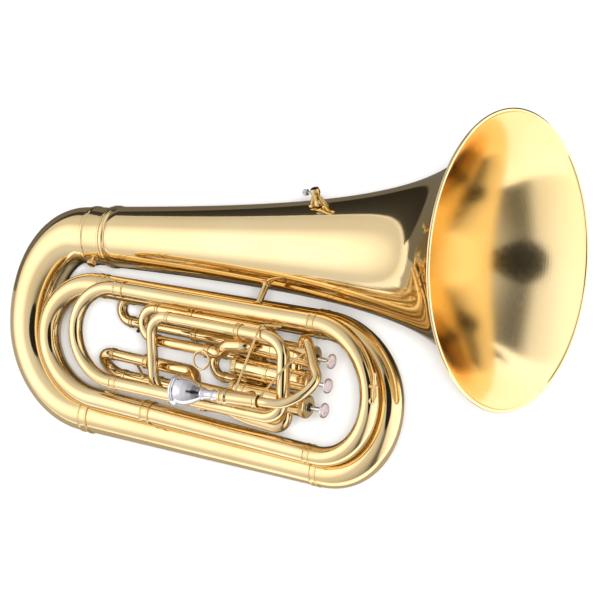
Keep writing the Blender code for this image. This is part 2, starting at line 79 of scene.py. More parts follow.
VALVE_AXIS = Vector((math.cos(VALVE_SLOPE), -math.sin(VALVE_SLOPE), 0.0))
VALVE_ACROSS = Vector((math.sin(VALVE_SLOPE), math.cos(VALVE_SLOPE), 0.0))
SLIDE_AXIS = Vector((0.9945, -0.1050, 0.0)).normalized()
LOCK_OUT = Vector((0.0, -0.76, 0.65)).normalized()
LOCK_FOOT = Vector((-18.0, 0.0, 0.0)) + LOCK_OUT * (TENON_RADIUS + 2.3)
RECEIVER_AXIS = Vector((0.9982, -0.055, -0.02)).normalized()
RECEIVER_START = Vector((288.0, -225.2, 118.6))
RECEIVER_LENGTH = 68.0
LYRE_X, LYRE_ANGLE, LYRE_HEIGHT = 400.0, math.radians(58.0), 28.0

BUGLE_CORNERS = [
    (-40.3, 0.0, 0.0),
    (-150.0, 0.0, 0.0),
    (-150.0, -259.0, 0.0),
    (513.0, -347.3, 0.0),
    (513.0, -123.5, 0.0),
    (-82.0, -66.0, 50.0),
    (-84.0, -234.0, 46.0),
    (505.0, -321.0, 42.0),
    (511.0, -118.0, 50.0),
    (-7.0, -69.0, 86.0),
    (-7.0, -210.0, 84.0),
    (380.0, -256.0, 86.0),
    (377.0, -136.0, 86.0),
    (290.0, -127.3, 85.3),
]
BUGLE_BENDS = [
    (98.0, 138.0),
    (120.0, 112.0),
    (110.0, 120.0),
    (103.0, 110.0),
    (88.0, 84.0),
    (83.0, 92.0),
    (94.0, 101.0),
    (101.0, 94.0),
    (70.0, 70.0),
    (70.0, 70.0),
    (36.0, 30.0),
    (26.0, 34.0),
]
# Lengths of the main tubing: name, where it starts, and its outer radius there.
BUGLE_PARTS = [
    ("bottom_bow", (-40.3, 0.0, 0.0), 44.0),
    ("outer_branch", (-30.0, -275.0, 0.0), 27.5),
    ("large_top_bow", (396.0, -331.7, 0.0), 24.4),
    ("upper_rear_branch", (396.0, -112.2, 9.8), 22.0),
    ("second_bottom_bow", (12.0, -75.1, 42.1), 18.0),
    ("second_branch", (109.0, -262.5, 44.7), 16.2),
    ("small_top_bow", (404.0, -306.1, 42.7), 15.0),
    ("upper_front_branch", (410.0, -108.4, 57.0), 14.4),
    ("small_bottom_bow", (70.0, -76.3, 80.6), 11.2),
    ("small_branch", (70.0, -219.2, 84.4), 10.4),
]
BUGLE_END = (290.0, -127.3, 85.3)


# ---------------------------------------------------------------- the instrument's frame
def joint(name):
    return next(j for j in frame["joints"] if j["name"] == name)


def instrument_matrix():
    """Instrument millimetres to row-frame metres, from the joints' axes and one point."""
    along = Vector(joint("bell_draw")["axis"]).normalized()
    valves = -Vector(joint("valve_1_press")["axis"]).normalized()
    forward = valves.cross(along).normalized()
    upward = forward.cross(along)
    turn = Matrix((along, upward, forward)).transposed()
    origin = Vector(joint("bell_lock_turn")["pos_m"]) - turn @ (LOCK_FOOT * MM)
    return Matrix.Translation(origin) @ turn.to_4x4() @ Matrix.Scale(MM, 4)


TO_ROW = instrument_matrix()
TURN = TO_ROW.to_3x3() * (1 / MM)


# ---------------------------------------------------------------- shapes
def new_piece(name, verts, faces, material, body, stands_for=(), lining=None):
    """A mesh piece from instrument millimetres. lining is (material, faces it covers)."""
    mesh = bpy.data.meshes.new(name)
    mesh.from_pydata([TO_ROW @ Vector(v) for v in verts], [], faces)
    mesh.materials.append(material)
    if lining:
        mesh.materials.append(lining[0])
        for i in lining[1]:
            mesh.polygons[i].material_index = 1
    edit = bmesh.new()
    edit.from_mesh(mesh)
    bmesh.ops.recalc_face_normals(edit, faces=edit.faces)
    edit.to_mesh(mesh)
    edit.free()
    mesh.shade_smooth()
    mesh.set_sharp_from_angle(angle=math.radians(42))
    made = bpy.data.objects.new(name, mesh)
    bpy.context.scene.collection.objects.link(made)
    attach(made, body)
    if stands_for:
        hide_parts(*stands_for)
    return made


def rounded_path(corners, bends, spacing=3.5):
    """Points along straight runs whose corners are quarter ellipses of the given lengths."""
    corners = [Vector(c) for c in corners]
    path = [corners[0]]
    for i, (before, after) in enumerate(bends, start=1):
        corner = corners[i]
        inward = (corner - corners[i - 1]).normalized()
        outward = (corners[i + 1] - corner).normalized()
        steps = max(8, int(1.57 * (before + after) / 2 / spacing))
        for k in range(steps + 1):
            angle = math.pi / 2 * k / steps
            back = -before * (1 - math.sin(angle)) * inward
            path.append(corner + back + after * (1 - math.cos(angle)) * outward)
    path.append(corners[-1])
    return without_repeats(path)


def without_repeats(path, nearest=0.3):
    """The path without points that lie almost on the one before."""
    kept = [path[0]]
    for point in path[1:]:
        if (point - kept[-1]).length > nearest:
            kept.append(point)
    return kept


def smooth_path(points, steps):
    """A Catmull-Rom curve through the points."""
    points = [Vector(p) for p in points]
    ends = [2 * points[0] - points[1], *points, 2 * points[-1] - points[-2]]
    path = []
    for a, b, c, d in zip(ends, ends[1:], ends[2:], ends[3:]):
        for k in range(steps):
            t = k / steps
            even, odd = 2 * b + (2 * a - 5 * b + 4 * c - d) * t**2, (c - a) * t
            path.append(0.5 * (even + odd + (3 * b - a - 3 * c + d) * t**3))
    path.append(points[-1])
    return path


def run_lengths(path):
    total = [0.0]
    for a, b in zip(path, path[1:]):
        total.append(total[-1] + (b - a).length)
    return total


def side_of(axis):
    """Any unit vector square to an axis."""
    other = Vector((0, 0, 1)) if abs(axis.z) < 0.9 else Vector((0, 1, 0))
    return axis.cross(other).normalized()


def rings_along(path, sides, closed=False):
    """For each point of a path, unit directions around it that don't twist."""
    tangents = []
    for i in range(len(path)):
        if closed:
            step = path[(i + 1) % len(path)] - path[i - 1]
        else:
            step = path[min(i + 1, len(path) - 1)] - path[max(i - 1, 0)]
        tangents.append(step.normalized())
    side = side_of(tangents[0])
    rings = []
    for tangent in tangents:
        side = (side - tangent * side.dot(tangent)).normalized()
        other = tangent.cross(side)
        rings.append(
            [
                math.cos(TAU * k / sides) * side + math.sin(TAU * k / sides) * other
                for k in range(sides)
            ]
        )
    return rings, tangents


def valve_top(number):
    """Middle of a valve's top cap face; valve 1 is the one nearest the bell."""
    return VALVE_TWO_TOP + VALVE_ACROSS * VALVE_PITCH * (2 - number)


def on_valve(number, x):
    """The point on a valve's axis at a given x."""
    top = valve_top(number)
    return top + VALVE_AXIS * (x - top.x) / VALVE_AXIS.x


def off_axis(point, number):
    """How far a point is from a valve's axis."""
    away = point - valve_top(number)
    return (away - VALVE_AXIS * away.dot(VALVE_AXIS)).length


def stopped_at_valve(path, number):
    """The path up to the side of the casing that it ends in."""
    kept = list(path)
    while off_axis(kept[-1], number) < CASING_RADIUS + 1.0:
        inside = kept.pop()
    last = kept[-1]
    a, b = off_axis(last, number), off_axis(inside, number)
    share = (a - CASING_RADIUS - 0.6) / (a - b)
    return [*kept, last.lerp(inside, share)]


def fit_to_casing(points, direction, number):
    """Points moved along a direction until they lie on a casing's wall."""
    top = valve_top(number)
    flat = direction - VALVE_AXIS * direction.dot(VALVE_AXIS)
    fitted = []
    for point in points:
        away = point - top
        away -= VALVE_AXIS * away.dot(VALVE_AXIS)
        a, b = flat.length_squared, 2 * away.dot(flat)
        c = away.length_squared - (CASING_RADIUS - 0.05) ** 2
        root = b * b - 4 * a * c
        travel = (-b - math.sqrt(root)) / (2 * a) if root > 0 else 0.0
        fitted.append(point + direction * travel)
    return fitted


def tube_mesh(path, radii, sides, wall=None, valve=None, from_valve=None):
    """Vertices and faces of a tube: hollow if a wall is given, solid if not."""
    rings, tangents = rings_along(path, sides)
    verts, faces = [], []

    def skin(shrink):
        start = len(verts)
        for i, (centre, ring, radius) in enumerate(zip(path, rings, radii)):
            points = [centre + way * (radius - shrink) for way in ring]
            if valve and i == len(path) - 1:
                points = fit_to_casing(points, tangents[-1], valve)
            if from_valve and i == 0:
                points = fit_to_casing(points, -tangents[0], from_valve)
            verts.extend(points)
        for i in range(len(path) - 1):
            for k in range(sides):
                a, b = start + i * sides + k, start + i * sides + (k + 1) % sides
                faces.append((a, b, b + sides, a + sides))
        return start, start + (len(path) - 1) * sides

    first, last = skin(0.0)
    if wall is None:
        faces.append([first + k for k in range(sides)])
        faces.append([last + k for k in range(sides)])
    else:
        first_in, last_in = skin(wall)
        for out, inner in ((first, first_in), (last, last_in)):
            for k in range(sides):
                n = (k + 1) % sides
                faces.append((out + k, out + n, inner + n, inner + k))
    return verts, faces


def fillet(profile, size, closed, steps=4):
    """A profile of (radius, height) with its corners rounded off."""
    points = [Vector(p[:2]) for p in profile]
    made = []
    count = len(points)
    for i, point in enumerate(points):
        if not closed and i in (0, count - 1):
            made.append(point)
            continue
        before, after = points[i - 1] - point, points[(i + 1) % count] - point
        reach = min(size, before.length * 0.45, after.length * 0.45)
        if reach < 0.02:
            made.append(point)
            continue
        start, end = point + before.normalized() * reach, point + after.normalized() * reach
        for k in range(steps + 1):
            t = k / steps
            made.append(start * (1 - t) ** 2 + point * 2 * t * (1 - t) + end * t**2)
    return made


def lathe_mesh(profile, origin, axis, steps, ribs=None):
    """A profile turned about an axis. ribs is (count, depth, low, high) of a knurled band."""
    origin, axis = Vector(origin), Vector(axis).normalized()
    side = side_of(axis)
    other = axis.cross(side)
    closed = profile[0][0] > 1e-6
    verts, faces, rows = [], [], []
    for radius, height in profile:
        rows.append(len(verts))
        if radius < 1e-6:
            verts.append(origin + axis * height)
            continue
        for k in range(steps):
            turn = TAU * k / steps
            r = radius
            if ribs and ribs[2] < height < ribs[3]:
                r -= ribs[1] * (0.5 - 0.5 * math.cos(turn * ribs[0]))
            verts.append(origin + axis * height + (math.cos(turn) * side + math.sin(turn) * other) * r)
    pairs = list(zip(range(len(profile)), range(1, len(profile))))
    if closed:
        pairs.append((len(profile) - 1, 0))
    for i, j in pairs:
        a, b = rows[i], rows[j]
        for k in range(steps):
            n = (k + 1) % steps
            if profile[i][0] < 1e-6:
                faces.append((a, b + k, b + n))
            elif profile[j][0] < 1e-6:
                faces.append((a + k, b, a + n))
            else:
                faces.append((a + k, b + k, b + n, a + n))
    return verts, faces


def turned(name, profile, origin, axis, material, body, slot, **rest):
    """A turned piece, with rounded corners and an optional knurled band."""
    steps, size = rest.get("steps", 64), rest.get("size", 0.5)
    closed = profile[0][0] > 1e-6
    smooth = fillet(profile, size, closed)
    verts, faces = lathe_mesh([tuple(p) for p in smooth], origin, axis, steps, rest.get("ribs"))
    return new_piece(name, verts, faces, material, body, rest.get("stands_for", ()))


def piped(name, path, radius, material, body, slot, **rest):
    """A tube or rod along a path; radius is one number or one for each end."""
    ends = radius if isinstance(radius, tuple) else (radius, radius)
    path = [Vector(p) for p in path]
    along = run_lengths(path)
    radii = [ends[0] + (ends[1] - ends[0]) * s / along[-1] for s in along]
    verts, faces = tube_mesh(
        path, radii, rest.get("sides", 32), rest.get("wall"), rest.get("valve"), rest.get("from_valve")
    )
    return new_piece(name, verts, faces, material, body, rest.get("stands_for", ()))


# ---------------------------------------------------------------- materials
def shader_of(material):
    return material.node_tree.nodes["Principled BSDF"]


def add_node(material, kind, **values):
    node = material.node_tree.nodes.new(kind)
    for key, value in values.items():
        if key in node.inputs:
            node.inputs[key].default_value = value
        else:
            setattr(node, key, value)
    return node


def metal(name, light, deep, rough, edge, coat=0.0, patch=11.0, turned_marks=False):
    """A polished metal: slow colour drift, fine hazing and faint polishing marks."""
    made = bpy.data.materials.new(name)
    made.use_nodes = True
    shader = shader_of(made)
    link = made.node_tree.links.new
    shader.inputs["Metallic"].default_value = 1.0
    shader.inputs["Specular Tint"].default_value = (*edge, 1.0)
    shader.inputs["Coat Weight"].default_value = coat
    shader.inputs["Coat Roughness"].default_value = 0.04
    shader.inputs["Coat IOR"].default_value = 1.45
    place = add_node(made, "ShaderNodeTexCoord").outputs["Object"]

    drift = add_node(made, "ShaderNodeTexNoise", Scale=patch, Detail=3.0, Roughness=0.5)
    link(place, drift.inputs["Vector"])
    tone = add_node(made, "ShaderNodeValToRGB")
    tone.color_ramp.elements[0].position, tone.color_ramp.elements[1].position = 0.35, 0.65
    tone.color_ramp.elements[0].color = (*deep, 1.0)
    tone.color_ramp.elements[1].color = (*light, 1.0)
    link(drift.outputs["Fac"], tone.inputs["Fac"])
    link(tone.outputs["Color"], shader.inputs["Base Color"])

    haze = add_node(made, "ShaderNodeTexNoise", Scale=190.0, Detail=5.0, Roughness=0.65)
    link(place, haze.inputs["Vector"])
    spread = add_node(made, "ShaderNodeMapRange")
    spread.inputs["From Min"].default_value, spread.inputs["From Max"].default_value = 0.3, 0.7
    spread.inputs["To Min"].default_value, spread.inputs["To Max"].default_value = rough
    link(haze.outputs["Fac"], spread.inputs["Value"])
    link(spread.outputs["Result"], shader.inputs["Roughness"])

    if turned_marks:
        aim = add_node(made, "ShaderNodeMapping")
        aim.inputs["Rotation"].default_value = TURN.transposed().to_euler()
        link(place, aim.inputs["Vector"])
        marks = add_node(made, "ShaderNodeTexWave", Scale=90.0, Distortion=1.2, Detail=3.0)
        marks.bands_direction = "X"
        link(aim.outputs["Vector"], marks.inputs["Vector"])
    else:
        marks = add_node(made, "ShaderNodeTexNoise", Scale=46.0, Detail=4.0, Roughness=0.6)
        link(place, marks.inputs["Vector"])
    bump = add_node(made, "ShaderNodeBump", Strength=0.02 if turned_marks else 0.05, Distance=0.0004)
    link(marks.outputs["Fac"], bump.inputs["Height"])
    link(bump.outputs["Normal"], shader.inputs["Normal"])
    return made


def softer(name, light, deep, rough, scale, coat=0.0):
    """A non-metal with mottled colour and a fine grain: pearl, felt, cork or rubber."""
    made = bpy.data.materials.new(name)
    made.use_nodes = True
    shader = shader_of(made)
    link = made.node_tree.links.new
    shader.inputs["Roughness"].default_value = rough
    shader.inputs["Coat Weight"].default_value = coat
    shader.inputs["Coat Roughness"].default_value = 0.05
    place = add_node(made, "ShaderNodeTexCoord").outputs["Object"]
    mottle = add_node(made, "ShaderNodeTexNoise", Scale=scale, Detail=4.0, Distortion=1.6)
    link(place, mottle.inputs["Vector"])
    tone = add_node(made, "ShaderNodeValToRGB")
    tone.color_ramp.elements[0].position, tone.color_ramp.elements[1].position = 0.36, 0.64
    tone.color_ramp.elements[0].color = (*deep, 1.0)
    tone.color_ramp.elements[1].color = (*light, 1.0)
    link(mottle.outputs["Fac"], tone.inputs["Fac"])
    link(tone.outputs["Color"], shader.inputs["Base Color"])
    bump = add_node(made, "ShaderNodeBump", Strength=0.15, Distance=0.0002)
    link(mottle.outputs["Fac"], bump.inputs["Height"])
    link(bump.outputs["Normal"], shader.inputs["Normal"])
    return made


BRASS = metal(
    "lacquered_brass", (0.93, 0.73, 0.42), (0.88, 0.66, 0.34), (0.05, 0.11), (1.0, 0.86, 0.6), 0.5
)
BELL_SKIN = metal(
    "bell_outside", (0.94, 0.75, 0.44), (0.90, 0.69, 0.37), (0.05, 0.09), (1.0, 0.86, 0.6), 0.5,
    patch=5.0, turned_marks=True,
)
BELL_LINING = metal(
    "bell_inside", (0.94, 0.73, 0.40), (0.89, 0.66, 0.31), (0.15, 0.22), (1.0, 0.84, 0.56), 0.3,
    patch=4.0, turned_marks=True,
)
TRIM = metal(
    "brass_trim", (0.91, 0.70, 0.37), (0.82, 0.60, 0.28), (0.07, 0.15), (1.0, 0.82, 0.5), 0.4, 30.0
)
SILVER = metal(
    "silver_plate", (0.92, 0.90, 0.95), (0.83, 0.81, 0.87), (0.10, 0.18), (1.0, 1.0, 1.0), 0.0, 24.0
)
STEEL = metal(
    "spring_steel", (0.60, 0.61, 0.63), (0.46, 0.47, 0.50), (0.22, 0.34), (0.9, 0.9, 0.9), 0.0, 60.0
)
PEARL = softer("pearl", (0.80, 0.68, 0.70), (0.56, 0.44, 0.48), 0.22, 130.0, 0.8)
FELT = softer("black_felt", (0.05, 0.05, 0.05), (0.012, 0.012, 0.012), 0.95, 900.0)
CORK = softer("cork", (0.60, 0.42, 0.24), (0.38, 0.24, 0.12), 0.85, 700.0)
RUBBER = softer("black_rubber", (0.035, 0.035, 0.035), (0.012, 0.012, 0.012), 0.45, 300.0, 0.1)

# The record's material slots: brass, silver, pearl and spring wire.
B, S, P, W = "lacquered_brass", "silver_plate", "pearl", "spring_steel"


# ---------------------------------------------------------------- bell
def flare_radius(x):
    """The bell's inner radius at a distance from its collar."""
    rim = BELL_RADIUS - BEAD_RADIUS
    return rim * (FLARE_SCALE / (BELL_LENGTH - x + FLARE_SCALE)) ** FLARE_POWER


def make_bell():
    """The bell in one turned shell, from its rolled bead down to the tenon."""
    count = 110
    stations = [BELL_LENGTH * (1 - (1 - i / count) ** 1.7) for i in range(count)]
    stations = [x for x in stations if 9.0 < x < BELL_LENGTH - BEAD_RADIUS - 1.0]
    middle = Vector((BELL_RADIUS - BEAD_RADIUS, BELL_LENGTH - BEAD_RADIUS))
    profile = []
    for k in range(15):
        turn = math.radians(168 - 258 * k / 14)
        profile.append(middle + BEAD_RADIUS * Vector((math.cos(turn), math.sin(turn))))
    profile += [Vector((flare_radius(x) + BELL_WALL, x)) for x in reversed(stations)]
    collar = [(45.9, 9.0), (45.9, 7.0), (48.6, 6.2), (48.6, 1.0), (46.4, 0.0)]
    collar += [(TENON_RADIUS, 0.0), (TENON_RADIUS, -TENON_LENGTH)]
    collar += [(TENON_RADIUS - 1.0, -TENON_LENGTH), (TENON_RADIUS - 1.0, 4.0)]
    profile += fillet(collar, 1.4, closed=False)
    lined_from = len(profile) - 1
    profile += [Vector((flare_radius(x), x)) for x in stations]
    steps = 192
    verts, faces = lathe_mesh([tuple(p) for p in profile], (0, 0, 0), (1, 0, 0), steps)
    lined = range(lined_from * steps, len(profile) * steps)
    new_piece("bell_horn", verts, faces, BELL_SKIN, "bell", ["bell"], (BELL_LINING, lined))


def make_collar():
    outer = TENON_RADIUS + 1.8
    profile = [(outer, 0.0), (outer + 2.6, -0.6), (outer + 2.6, -4.2), (outer, -5.4)]
    profile += [(outer, 7.2 - COLLAR_LENGTH), (outer + 1.4, 6.2 - COLLAR_LENGTH)]
    profile += [(outer + 1.4, 1.6 - COLLAR_LENGTH), (outer, 0.4 - COLLAR_LENGTH)]
    profile += [(TENON_RADIUS + 0.6, 0.4 - COLLAR_LENGTH), (TENON_RADIUS + 0.6, 0.0)]
    turned("collar_sleeve", profile, (-0.3, 0, 0), (1, 0, 0), BRASS, "tuba", B,
           steps=128, size=1.0, stands_for=["bow_collar"])
    head = [(0.0, 13.0), (5.4, 13.0), (7.0, 12.2), (7.0, 6.6)]
    head += [(5.6, 5.5), (3.6, 5.5), (3.6, 0.0), (0.0, 0.0)]
    turned("bell_thumbscrew", head, LOCK_FOOT, LOCK_OUT, BRASS, "bell_lock", B,
           steps=96, ribs=(24, 0.55, 6.7, 12.1), stands_for=["bell_lock_screw"])
    boss = [(0.0, -0.3), (6.4, -0.3), (6.4, -3.0), (0.0, -3.0)]
    turned("collar_screw_boss", boss, LOCK_FOOT, LOCK_OUT, BRASS, "tuba", B)


def make_lyre_holder():
    """The music clip's socket on two splayed legs, and its thumbscrew."""
    out = Vector((0.0, math.sin(LYRE_ANGLE), math.cos(LYRE_ANGLE)))
    seat = Vector((LYRE_X, 0.0, 0.0)) + out * (flare_radius(LYRE_X) + BELL_WALL + 2.2)
    top = LYRE_HEIGHT
    post = [(4.9, top), (6.8, top - 0.8), (7.2, top - 4.0), (7.2, top - 9.0), (5.8, top - 11.0)]
    post += [(5.4, 9.0), (7.0, 4.0), (7.0, 0.0), (4.0, 0.0), (4.0, top)]
    turned("music_clip_socket", post, seat, out, TRIM, "bell", B, size=0.9, stands_for=["lyre_holder"])
    for tag, way in (("front", 1), ("back", -1)):
        foot = seat + Vector((way * 12.0, 0.0, 0.0))
        leg = [foot - out * 1.4, foot + out * 1.5, seat + Vector((way * 5.0, 0.0, 0.0)) + out * 15.0]
        piped(f"music_clip_{tag}_leg", leg, (3.4, 2.4), TRIM, "bell", B, sides=20)
        pad = [(0.0, 1.2), (5.4, 0.9), (6.4, -0.6), (6.6, -2.6), (0.0, -3.6)]
        turned(f"music_clip_{tag}_foot", pad, foot, out, TRIM, "bell", B, steps=40, size=0.8)
    head = [(0.0, 14.0), (4.2, 14.0), (5.0, 13.2), (5.0, 7.6)]
    head += [(4.2, 7.0), (1.8, 7.0), (1.8, 0.0), (0.0, 0.0)]
    turned("music_clip_screw", head, seat + out * 20.0 + Vector((-7.0, 0.0, 0.0)), (-1, 0, 0), STEEL,
           "lyre_lock", B, steps=72, ribs=(18, 0.45, 7.6, 13.3), stands_for=["lyre_screw"])


# ---------------------------------------------------------------- main tubing
BUGLE_PATH = rounded_path(BUGLE_CORNERS, BUGLE_BENDS)


def nearest_on_bugle(point):
    """Index of the segment nearest to a point, and the point on it."""
    best = None
    for i, (a, b) in enumerate(zip(BUGLE_PATH, BUGLE_PATH[1:])):
        along = max(0.0, min(1.0, (point - a).dot(b - a) / (b - a).length_squared))
        on = a.lerp(b, along)
        if best is None or (point - on).length < best[0]:
            best = ((point - on).length, i, on)
    return best[1], best[2]


def bugle_part(first, last):
    """The stretch of the main tubing between two points on it."""
    start, start_on = nearest_on_bugle(Vector(first))
    end, end_on = nearest_on_bugle(Vector(last))
    return without_repeats([start_on, *BUGLE_PATH[start + 1 : end + 1], end_on])


def ferrule(name, centre, axis, radius, length, body="tuba", proud=1.5):
    """A turned joint ring over a tube, with a bead at each end."""
    half, bead = length / 2, min(2.6, length / 4)
    profile = [(radius + proud, half), (radius + proud, half - bead)]
    profile += [(radius + proud * 0.45, half - bead - 0.6), (radius + proud * 0.45, bead + 0.6 - half)]
    profile += [(radius + proud, bead - half), (radius + proud, -half)]
    profile += [(radius - 0.2, -half), (radius - 0.2, half)]
    turned(name, profile, centre, axis, TRIM, body, B, steps=96, size=0.9)


def make_bugle():
    ends = [part[1] for part in BUGLE_PARTS[1:]] + [BUGLE_END]
    widths = [part[2] for part in BUGLE_PARTS[1:]] + [SLEEVE_RADIUS]
    for (name, first, width), last, end_width in zip(BUGLE_PARTS, ends, widths):
        path = bugle_part(first, last)
        piped(f"{name}_tube", path, (width, end_width), BRASS, "tuba", B,
              sides=56, wall=WALL, stands_for=[name])
        if name != "bottom_bow":
            broad = name in ("outer_branch", "second_branch", "small_bottom_bow")
            ferrule(f"{name}_ferrule", path[0], path[1] - path[0], width,
                    17.0 if broad else 13.0, proud=1.9 if broad else 1.0)


# ---------------------------------------------------------------- slides
def slide(name, node, near, far, axis, legs, body, radius=SLIDE_RADIUS, bend=None):
    """A U-shaped crook with two straight legs, and a ring where each leg begins."""
    near, far = Vector(near), Vector(far)
    bend = (far - near).length / 2 if bend is None else bend
    corners = [near + axis * legs[0], near, far, far + axis * legs[1]]
    path = rounded_path(corners, [(bend, bend), (bend, bend)], 1.6)
    piped(name, path, radius, BRASS, body, B, sides=36, wall=0.8, stands_for=[node])
    # Rings where the crook's bend is joined to its legs.
    for tag, corner in (("near", near), ("far", far)):
        ferrule(f"{name}_{tag}_ring", corner + axis * (bend + 3.0), axis, radius, 6.5, body, 1.2)


def sleeve(name, node, corners, bends, valve=None, radius=SLEEVE_RADIUS):
    """A fixed tube that a slide leg goes into, run on to the valve that it feeds."""
    path = rounded_path(corners, bends, 1.6)
    if valve:
        path = stopped_at_valve(path, valve)
    piped(name, path, radius, BRASS, "tuba", B, sides=36, wall=WALL, valve=valve, stands_for=[node])
    way = (path[1] - path[0]).normalized()
    ferrule(f"{name}_mouth", path[0] + way * 4.6, way, radius, 9.5, proud=1.5)


def make_slides():
    top, low = Vector((131.0, -112.0, 84.0)), Vector((127.0, -233.0, 60.0))
    axis = (Vector(BUGLE_CORNERS[-1]) - top).normalized()
    slide("main_slide_crook", "main_tuning_slide", top, low, axis, (196.0, 124.0), "main_slide", bend=30.0)
    corners = [low + axis * 90.0, low + axis * 140.0, (292.0, -257.5, 56.0), (358.0, -271.0, 46.0)]
    sleeve("valve_exit_bend", "valve_exit_tube", [*corners, on_valve(3, 358.0)],
           [(14, 14), (16, 16), (17, 17)], 3)
    end = Vector(BUGLE_END)
    ferrule("main_slide_upper_mouth", end + axis * 4.6, axis, SLEEVE_RADIUS, 9.5, proud=1.5)

    near, far = Vector((100.0, -101.0, 58.0)), Vector((101.0, -149.0, 58.0))
    slide("first_slide_crook", "first_valve_slide", near, far, SLIDE_AXIS, (125.0, 135.5), "first_slide")
    corners = [near + SLIDE_AXIS * 86.0, near + SLIDE_AXIS * 232.0, on_valve(1, 334.0)]
    sleeve("first_sleeve_upper", "first_slide_sleeve_upper", corners, [(12, 12)], 1)
    corners = [far + SLIDE_AXIS * 118.0, far + SLIDE_AXIS * 146.0, (264.0, -151.0, 72.0)]
    corners += [(302.0, -149.7, 74.0), on_valve(1, 304.0)]
    sleeve("first_sleeve_lower", "first_slide_sleeve_lower", corners, [(10, 10), (9, 9), (12, 12)], 1)

    near, far = Vector((204.0, -164.5, 14.0)), Vector((204.0, -200.0, 14.0))
    slide("second_slide_crook", "second_valve_slide", near, far, VALVE_AXIS, (62.0, 80.0),
          "second_slide", 7.2)
    corners = [near + VALVE_AXIS * 41.0, near + VALVE_AXIS * 92.0, on_valve(2, 306.0)]
    sleeve("second_sleeve_upper", "second_slide_sleeve_upper", corners, [(10, 10)], 2, 8.7)
    corners = [far + VALVE_AXIS * 41.0, far + VALVE_AXIS * 100.0, on_valve(2, 318.0)]
    sleeve("second_sleeve_lower", "second_slide_sleeve_lower", corners, [(10, 10)], 2, 8.7)

    near, far = Vector((12.0, -174.9, 44.0)), Vector((12.0, -207.9, 12.0))
    slide("third_slide_crook", "third_valve_slide", near, far, VALVE_AXIS, (127.0, 127.0), "third_slide")
    corners = [near + VALVE_AXIS * 86.0, near + VALVE_AXIS * 177.0, (206.0, -218.0, 66.0)]
    corners += [(302.0, -229.6, 72.0), on_valve(3, 304.0)]
    sleeve("third_sleeve_upper", "third_slide_sleeve_upper", corners, [(12, 12), (12, 12), (12, 12)], 3)
    corners = [far + VALVE_AXIS * 86.0, far + VALVE_AXIS * 320.0, on_valve(3, 338.0)]
    sleeve("third_sleeve_lower", "third_slide_sleeve_lower", corners, [(14, 14)], 3)

    near, far = Vector((13.0, -92.0, -8.0)), Vector((13.0, -127.0, -8.0))
    slide("rear_slide_crook", "rear_tuning_slide", near, far, SLIDE_AXIS, (180.0, 180.0), "rear_slide", 8.0)
    corners = [near + SLIDE_AXIS * 137.0, near + SLIDE_AXIS * 272.0, (292.0, -134.0, -2.0)]
    sleeve("rear_sleeve_upper", "rear_slide_sleeve_upper", [*corners, on_valve(1, 304.0)],
           [(7, 7), (6, 6)], 1)
    corners = [far + SLIDE_AXIS * 137.0, far + SLIDE_AXIS * 318.0, (338.0, -182.0, 4.0)]
    sleeve("rear_sleeve_lower", "rear_slide_sleeve_lower", [*corners, on_valve(2, 345.0)],
           [(12, 12), (10, 10)], 2)


